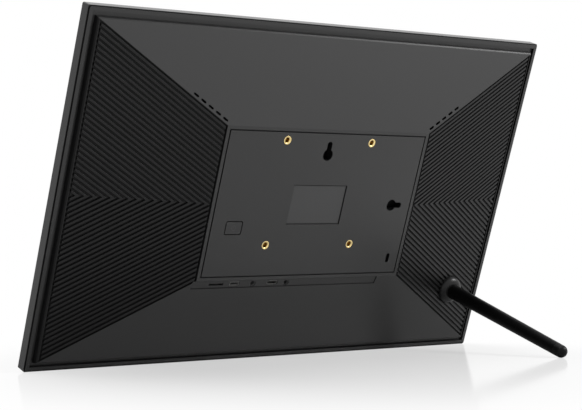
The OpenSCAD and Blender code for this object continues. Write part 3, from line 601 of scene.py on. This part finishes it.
# %% Threaded stud
def threaded(name, radius, root, pitch, length, columns):
    """A thread about the height axis, from 0 to length; it fades out at both ends."""
    mesh = bmesh.new()
    steps = int(length / pitch * columns)
    crest, valley = [], []
    for i in range(steps + 1):
        turn = 2 * math.pi * i / columns
        height = length * i / steps
        fade = min(1.0, i / columns, (steps - i) / columns)
        crest.append(mesh.verts.new(round_point(root + (radius - root) * fade, turn, height)))
        valley.append(mesh.verts.new(round_point(root, turn, min(length, height + pitch / 2))))
    for i in range(steps):
        mesh.faces.new((crest[i], crest[i + 1], valley[i + 1], valley[i]))
        if i + columns <= steps - 1:
            mesh.faces.new((valley[i], valley[i + 1], crest[i + 1 + columns], crest[i + columns]))
    bmesh.ops.recalc_face_normals(mesh, faces=mesh.faces)
    return to_object(name, mesh)

CREST, ROOT, CORE, TIP = 2.98 * MM, 2.45 * MM, 2.5 * MM, 2.1 * MM
RUN_OUT = 0.3 * MM
stud_low, stud_high = upright_extent("leg_stud")
stud_centre = (stud_low + stud_high) / 2
stud_length = stud_high.y - stud_low.y
core_length = stud_length - 0.1 * MM
stud = threaded("stud_thread", CREST, ROOT, 1.0 * MM, stud_length - 2 * RUN_OUT, 36)
core = turned("stud_core", [(AXIS_RADIUS, 0), (TIP, 0), (CORE, CORE - TIP), (CORE, core_length),
                            (AXIS_RADIUS, core_length)], 40)
foot_of_stud = leaned_point((stud_centre.x, stud_low.y, stud_centre.z))
face_out(stud.data, foot_of_stud + OUT * RUN_OUT, OUT)
face_out(core.data, foot_of_stud, OUT)
print("stud length in mm:", round(stud_length / MM, 2))

# %% Recipes: rod paint, rubber and metal
def make_rod_paint():
    material, tree, shader = start_material("rod paint", grey(0.005), 0.40, 0.0, 0.07)
    texture = add_group(tree, MOULDED_GRAIN, Grain_per_metre=1400.0, Cloud_per_metre=60.0)
    edges = add_group(tree, SOFT_EDGES, Radius=0.3 * MM)
    blend_color(tree, shader, texture.outputs["Cloud"], grey(0.004), grey(0.006))
    cover_color(tree, shader, edges.outputs["Edge"], grey(0.012))
    drift_roughness(tree, shader, texture.outputs["Cloud"], 0.34, 0.42)
    add_bump(tree, shader, texture.outputs["Height"], 10 * MICRON, 0.5, edges.outputs["Normal"])
    return material

def make_rubber(name, level, roughness, specular=0.35, dust=0.3):
    material, tree, shader = start_material(name, grey(level), roughness, 0.0, specular)
    texture = add_group(tree, MOULDED_GRAIN, Grain_per_metre=1800.0, Cloud_per_metre=90.0)
    blend_color(tree, shader, texture.outputs["Cloud"], grey(level * 0.85), grey(level * 1.2))
    settled = add_group(tree, DUST, Amount=dust)
    cover_color(tree, shader, settled.outputs["Mask"], grey(0.2))
    drift_roughness(tree, shader, texture.outputs["Height"], roughness - 0.08, roughness + 0.08)
    add_bump(tree, shader, texture.outputs["Height"], 30 * MICRON, 0.6)
    return material

def shade(color, factor):
    return tuple(c * factor for c in color[:3]) + (1.0,)

def metal(name, color, roughness, stretch=(1.0, 30.0, 30.0), lines_per_metre=120.0):
    material, tree, shader = start_material(name, color, roughness, 1.0)
    lines = add_group(tree, DRAWN_LINES, Lines_per_metre=lines_per_metre, Stretch=stretch)
    edges = add_group(tree, SOFT_EDGES, Radius=0.1 * MM)
    blend_color(tree, shader, lines.outputs["Height"], shade(color, 0.86), color)
    drift_roughness(tree, shader, lines.outputs["Height"], roughness - 0.07, roughness + 0.09)
    add_bump(tree, shader, lines.outputs["Height"], 8 * MICRON, 0.5, edges.outputs["Normal"])
    return material

print("leg recipes ready")

# %% Painted rod, rubber foot and plated stud
EVEN = (1.0, 1.0, 1.0)
zinc = metal("zinc plate", (0.62, 0.63, 0.65, 1.0), 0.30, EVEN, 500.0)
dress(make_rod_paint(), "leg_rod")
dress(make_rubber("foot rubber", 0.004, 0.40, specular=0.12, dust=0.03), "leg_foot")
for piece in (stud, core):
    piece.data.materials.append(zinc)
    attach(piece, "leg")
    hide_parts("leg_stud")
print("leg dressed")

# %% [markdown]
# ## Front glass and display
# The front is one sheet of glass bonded to the display, with a black border printed on its back.
# With the display off, the eye only tells the border from the picture area, which is a shade
# lighter. So the sheet is dressed as dark polished glass instead of a clear one: it mirrors the room
# cleanly, and a mask of the picture area, measured from the display, carries the step. The display
# is off, so no picture has to be invented.

# %% Group: picture area
cell_low, cell_high = upright_extent("lcd_cell")
border = 3.2 * MM
half_width = (cell_high.x - cell_low.x) / 2 - border
half_height = (cell_high.z - cell_low.z) / 2 - border

def make_picture_area():
    group, start, end = new_group(
        "picture area",
        [("Half width", FLOAT, half_width), ("Half height", FLOAT, half_height)],
        [("Mask", FLOAT)],
    )
    middle = (cell_low + cell_high) / 2
    place = coordinates(group)
    upward = vector_node(group, "DOT_PRODUCT", place, leaned_point((0, 0, 1)))
    height = math_node(group, "SUBTRACT", upward, middle.z)
    across = math_node(group, "SUBTRACT", split_axes(group, place)["X"], middle.x)
    inside = []
    for value, limit in ((across, "Half width"), (height, "Half height")):
        distance = math_node(group, "ABSOLUTE", value)
        inside.append(math_node(group, "LESS_THAN", distance, start.outputs[limit]))
    group.links.new(math_node(group, "MULTIPLY", inside[0], inside[1]), end.inputs["Mask"])
    return group

PICTURE_AREA = make_picture_area()
print("picture in mm:", round(2 * half_width / MM, 1), "x", round(2 * half_height / MM, 1))

# %% Glass and display cell
def make_glass():
    material, tree, shader = start_material("dark glass", (0.006, 0.006, 0.007, 1.0), 0.06)
    picture = add_group(tree, PICTURE_AREA)
    texture = add_group(tree, MOULDED_GRAIN, Grain_per_metre=300.0, Cloud_per_metre=12.0)
    blend_color(tree, shader, picture.outputs["Mask"], (0.004, 0.004, 0.005, 1.0), (0.016, 0.017, 0.021, 1.0))
    drift_roughness(tree, shader, texture.outputs["Cloud"], 0.04, 0.08)
    return material

def make_display():
    material, tree, shader = start_material("display cell", (0.012, 0.013, 0.016, 1.0), 0.22)
    texture = add_group(tree, MOULDED_GRAIN, Grain_per_metre=5200.0, Cloud_per_metre=6.0)
    dim, bright = (0.010, 0.011, 0.014, 1.0), (0.015, 0.016, 0.020, 1.0)
    blend_color(tree, shader, texture.outputs["Cloud"], dim, bright)
    drift_roughness(tree, shader, texture.outputs["Height"], 0.18, 0.28)
    add_bump(tree, shader, texture.outputs["Height"], 3 * MICRON, 0.5)
    return material

dress(make_glass(), "cover_glass")
dress(make_display(), "lcd_cell")
print("front dressed")

# %% [markdown]
# ## Inside
# Nothing inside can be seen while the housing is closed, yet each part is a real one and gets the
# finish it would have: solder mask with faint tracks on the boards, zinc on steel sheet, amber film
# on the flat cables, matt epoxy on the chips.

# %% Circuit board with tracks
def make_circuit_board():
    material, tree, shader = start_material("circuit board", (0.02, 0.13, 0.05, 1.0), 0.32)
    tracks = tree.nodes.new("ShaderNodeTexBrick")
    tracks.inputs["Scale"].default_value = 160.0
    tracks.inputs["Mortar Size"].default_value = 0.012
    tracks.inputs["Color1"].default_value = (0.016, 0.11, 0.04, 1.0)
    tracks.inputs["Color2"].default_value = (0.022, 0.15, 0.06, 1.0)
    tracks.inputs["Mortar"].default_value = (0.05, 0.26, 0.11, 1.0)
    tree.links.new(coordinates(tree), tracks.inputs["Vector"])
    tree.links.new(tracks.outputs["Color"], shader.inputs["Base Color"])
    texture = add_group(tree, MOULDED_GRAIN, Grain_per_metre=900.0, Cloud_per_metre=60.0)
    drift_roughness(tree, shader, texture.outputs["Cloud"], 0.26, 0.40)
    add_bump(tree, shader, tracks.outputs["Fac"], 30 * MICRON, 0.5)
    return material

dress(make_circuit_board(), "main_board", "port_board", "timing_board")
print("boards dressed")

# %% Films, sheets and foam
def sheet_material(name, color, roughness, transmission=0.0):
    material, tree, shader = start_material(name, color, roughness)
    shader.inputs["Transmission Weight"].default_value = transmission
    texture = add_group(tree, MOULDED_GRAIN, Grain_per_metre=700.0, Cloud_per_metre=30.0)
    blend_color(tree, shader, texture.outputs["Cloud"], shade(color, 0.93), color)
    drift_roughness(tree, shader, texture.outputs["Height"], roughness - 0.06, roughness + 0.06)
    add_bump(tree, shader, texture.outputs["Height"], 8 * MICRON, 0.5)
    return material

dress(sheet_material("diffusing film", (0.82, 0.83, 0.85, 1.0), 0.55), "optical_films")
dress(sheet_material("acrylic guide", (0.80, 0.88, 0.90, 1.0), 0.10, 0.6), "light_guide")
dress(sheet_material("white reflector", (0.88, 0.88, 0.87, 1.0), 0.65), "reflector_sheet")
dress(sheet_material("lamp strip", (0.80, 0.80, 0.74, 1.0), 0.40), "led_strip")
dress(sheet_material("amber film", (0.58, 0.32, 0.07, 1.0), 0.30), "display_cable", "port_cable")
dress(sheet_material("copper film", (0.50, 0.27, 0.10, 1.0), 0.35), "wifi_antenna")
dress(make_rubber("foam", 0.030, 0.90), "panel_gasket", "speaker_gaskets")
dress(make_rubber("thermal pad", 0.26, 0.70), "thermal_pad")
print("sheets dressed")

# %% Metal parts
dress(metal("tray steel", (0.58, 0.59, 0.60, 1.0), 0.38), "lcd_back_tray")
dress(zinc, "panel_screws", "board_screws", "port_screws")
dress(metal("anodised fins", (0.60, 0.61, 0.63, 1.0), 0.42, (30.0, 30.0, 1.0)), "heat_sink")
dress(metal("tin shield", (0.60, 0.60, 0.59, 1.0), 0.34), "wifi_module")
dress(metal("dark nickel shell", (0.40, 0.40, 0.39, 1.0), 0.40, EVEN, 600.0),
      "micro_usb_socket", "usb_c_socket", "card_slot")
print("metal parts dressed")

# %% Chips, switch, sockets, speakers and wires
SMALL, SMALLER = 0.2 * MM, 0.1 * MM
dress(moulded_plastic("chip epoxy", 0.018, 0.60, 0.4, grain=1600.0, depth=14 * MICRON, edge=SMALLER),
      "processor", "memory_chips")
dress(moulded_plastic("switch body", 0.022, 0.50, 0.45, edge=SMALLER), "tact_switch")
dress(moulded_plastic("socket body", 0.080, 0.45, 0.45, edge=SMALLER), "audio_jack", "dc_jack")
dress(moulded_plastic("switch plunger", 0.48, 0.45, 0.45, edge=SMALL), "switch_plunger")
dress(moulded_plastic("speaker body", 0.024, 0.55, 0.4, edge=SMALL), "speaker_left", "speaker_right")
dress(moulded_plastic("coax jacket", 0.015, 0.40, 0.5, edge=SMALLER), "antenna_cable")
dress(sheet_material("red wire jacket", (0.32, 0.02, 0.02, 1.0), 0.38), "speaker_wires")
first_names = {label: [m.name for m in solid.data.materials][:1] for label, solid in nodes.items()}
left_over = [label for label, names in first_names.items() if not names or names[0].startswith("slot")]
print("left over:", left_over)

# %% [markdown]
# ## Button mark
# The button carries the usual ring-and-bar mark for power, which stands a hair proud of its face. It
# is made of flat bands, and it rides with the button so that it sinks when pressed.

# %% Flat bands
def band_edges(points, width):
    """Left and right edges of a flat band along points in a plane."""
    left, right = [], []
    last = len(points) - 1
    for i, (x, z) in enumerate(points):
        before, after = points[max(i - 1, 0)], points[min(i + 1, last)]
        along = Vector((after[0] - before[0], after[1] - before[1])).normalized()
        side = Vector((-along.y, along.x)) * width / 2
        left.append((x + side.x, z + side.y))
        right.append((x - side.x, z - side.y))
    return left, right

def flat_bands(name, bands, width, bottom, top):
    """Bands between two depths of the upright axes, each along its own points."""
    mesh = bmesh.new()
    for points in bands:
        rows = []
        for (lx, lz), (rx, rz) in zip(*band_edges(points, width)):
            section = ((lx, top, lz), (rx, top, rz), (rx, bottom, rz), (lx, bottom, lz))
            rows.append([mesh.verts.new(corner) for corner in section])
        for a, b in zip(rows, rows[1:]):
            for k in range(4):
                mesh.faces.new((a[k], a[(k + 1) % 4], b[(k + 1) % 4], b[k]))
        for end in (rows[0], rows[-1]):
            mesh.faces.new(end)
    bmesh.ops.recalc_face_normals(mesh, faces=mesh.faces)
    return to_object(name, mesh)

print("band helpers ready")

# %% Ring-and-bar mark
RING_SIZE, BAND_WIDTH = 1.7 * MM, 0.35 * MM
RING_START, RING_SWEEP, RING_STEPS = 35, 290, 28
MARK_SUNK, MARK_PROUD = 0.02 * MM, 0.03 * MM

button_low, button_high = upright_extent("power_button")
middle = (button_low + button_high) / 2
ring_points = []
for i in range(RING_STEPS + 1):
    turn = math.radians(RING_START + RING_SWEEP * i / RING_STEPS)
    ring_points.append((middle.x + RING_SIZE * math.sin(turn), middle.z + RING_SIZE * math.cos(turn)))
bar_points = [(middle.x, middle.z + 0.5 * MM), (middle.x, middle.z + 2.1 * MM)]
mark = flat_bands("power_mark", (ring_points, bar_points), BAND_WIDTH,
                  button_high.y - MARK_SUNK, button_high.y + MARK_PROUD)
lean_back(mark)
mark.data.materials.append(moulded_plastic("mark paint", 0.060, 0.45, 0.4, edge=SMALLER))
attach(mark, "button")
print("mark across:", round(2 * RING_SIZE / MM, 1), "mm")

# %% [markdown]
# ## Studio
# A black object on white needs light that shapes it, or it turns into a hole. One broad lamp stands
# behind the frame on the leg's side, so it skims the ribs and leaves their far walls dark. One fills
# from above, and one lights the front; that one isn't mirrored, so the glass stays clean.
#
# The floor is a white sheet with a faint gloss. Two rings of distance turn it into plain white, so
# no horizon shows: one for what is seen directly, which keeps the shadow near the object, and a
# wider one for what is mirrored, so that low faces reflect the darker floor close to them.

# %% Floor
HALF_SIDE = 6.0
SEEN_FADE = (0.08, 0.38, 0.52)
MIRRORED_FADE = (0.22, 0.75, 0.05)

def ray_mask(tree, *kinds):
    """1 for rays of the given kinds, else 0."""
    rays = tree.nodes.new("ShaderNodeLightPath")
    mask = rays.outputs[kinds[0]]
    for kind in kinds[1:]:
        mask = math_node(tree, "MAXIMUM", mask, rays.outputs[kind])
    return mask

def blend_shaders(tree, mask, below, above, end):
    blend = tree.nodes.new("ShaderNodeMixShader")
    tree.links.new(mask, blend.inputs[0])
    tree.links.new(below, blend.inputs[1])
    tree.links.new(above, blend.inputs[2])
    tree.links.new(blend.outputs[0], end.inputs["Surface"])

def make_floor():
    mesh = bmesh.new()
    bmesh.ops.create_grid(mesh, x_segments=1, y_segments=1, size=HALF_SIDE)
    floor = to_object("floor", mesh)
    material, tree, shader = start_material("white sheet", (0.88, 0.88, 0.88, 1.0), 0.10, 0.0, 0.06)
    texture = add_group(tree, MOULDED_GRAIN, Grain_per_metre=400.0, Cloud_per_metre=3.0)
    drift_roughness(tree, shader, texture.outputs["Cloud"], 0.08, 0.12)
    distance = tree.nodes.new("ShaderNodeVectorMath")
    distance.operation = "LENGTH"
    tree.links.new(coordinates(tree), distance.inputs[0])
    amounts = []
    for (near, far, least), kinds in ((SEEN_FADE, ("Is Camera Ray",)),
                                      (MIRRORED_FADE, ("Is Glossy Ray", "Is Transmission Ray"))):
        fade = ramp_node(tree, distance.outputs["Value"], near, far, least, kind="SMOOTHSTEP")
        amounts.append(math_node(tree, "MULTIPLY", fade, ray_mask(tree, *kinds)))
    white = tree.nodes.new("ShaderNodeEmission")
    white.inputs["Strength"].default_value = 1.0
    blend_shaders(tree, math_node(tree, "MAXIMUM", *amounts), shader.outputs[0], white.outputs[0],
                  tree.nodes["Material Output"])
    floor.data.materials.append(material)
    return floor

floor = make_floor()
print("floor side:", round(floor.dimensions.x, 1), "m")

# %% World
AMBIENT = 0.18

def make_world():
    """Plain white wherever it is seen or mirrored, and a soft grey light otherwise."""
    world = bpy.data.worlds.new("studio")
    bpy.context.scene.world = world
    world.use_nodes = True
    tree = world.node_tree
    tree.nodes.clear()
    lights = []
    for strength in (AMBIENT, 1.0):
        light = tree.nodes.new("ShaderNodeBackground")
        light.inputs["Color"].default_value = (1.0, 1.0, 1.0, 1.0)
        light.inputs["Strength"].default_value = strength
        lights.append(light.outputs[0])
    seen = ray_mask(tree, "Is Camera Ray", "Is Glossy Ray", "Is Transmission Ray")
    blend_shaders(tree, seen, *lights, tree.nodes.new("ShaderNodeOutputWorld"))

make_world()
print("ambient light:", AMBIENT)

# %% Lamps
def add_lamp(name, place, target, size, power):
    lamp = bpy.data.objects.new(name, bpy.data.lights.new(name, "AREA"))
    lamp.data.shape = "RECTANGLE"
    lamp.data.size, lamp.data.size_y = size
    lamp.data.energy = power
    lamp.location = place
    aim(lamp, target)
    bpy.context.scene.collection.objects.link(lamp)
    return lamp

add_lamp("side lamp", (-1.2, 0.8, 1.0), (0, 0, 0.11), (0.6, 0.6), 17)
add_lamp("top lamp", (0.1, -0.25, 1.6), (0, 0, 0.1), (1.2, 0.8), 13)
front_lamp = add_lamp("front lamp", (0.3, -1.6, 0.9), (0, 0, 0.1), (1.2, 0.9), 10)
front_lamp.visible_glossy = False
bpy.context.scene.view_settings.view_transform = "Standard"
print("studio ready")

# %% Update the scene
bpy.context.view_layer.update()
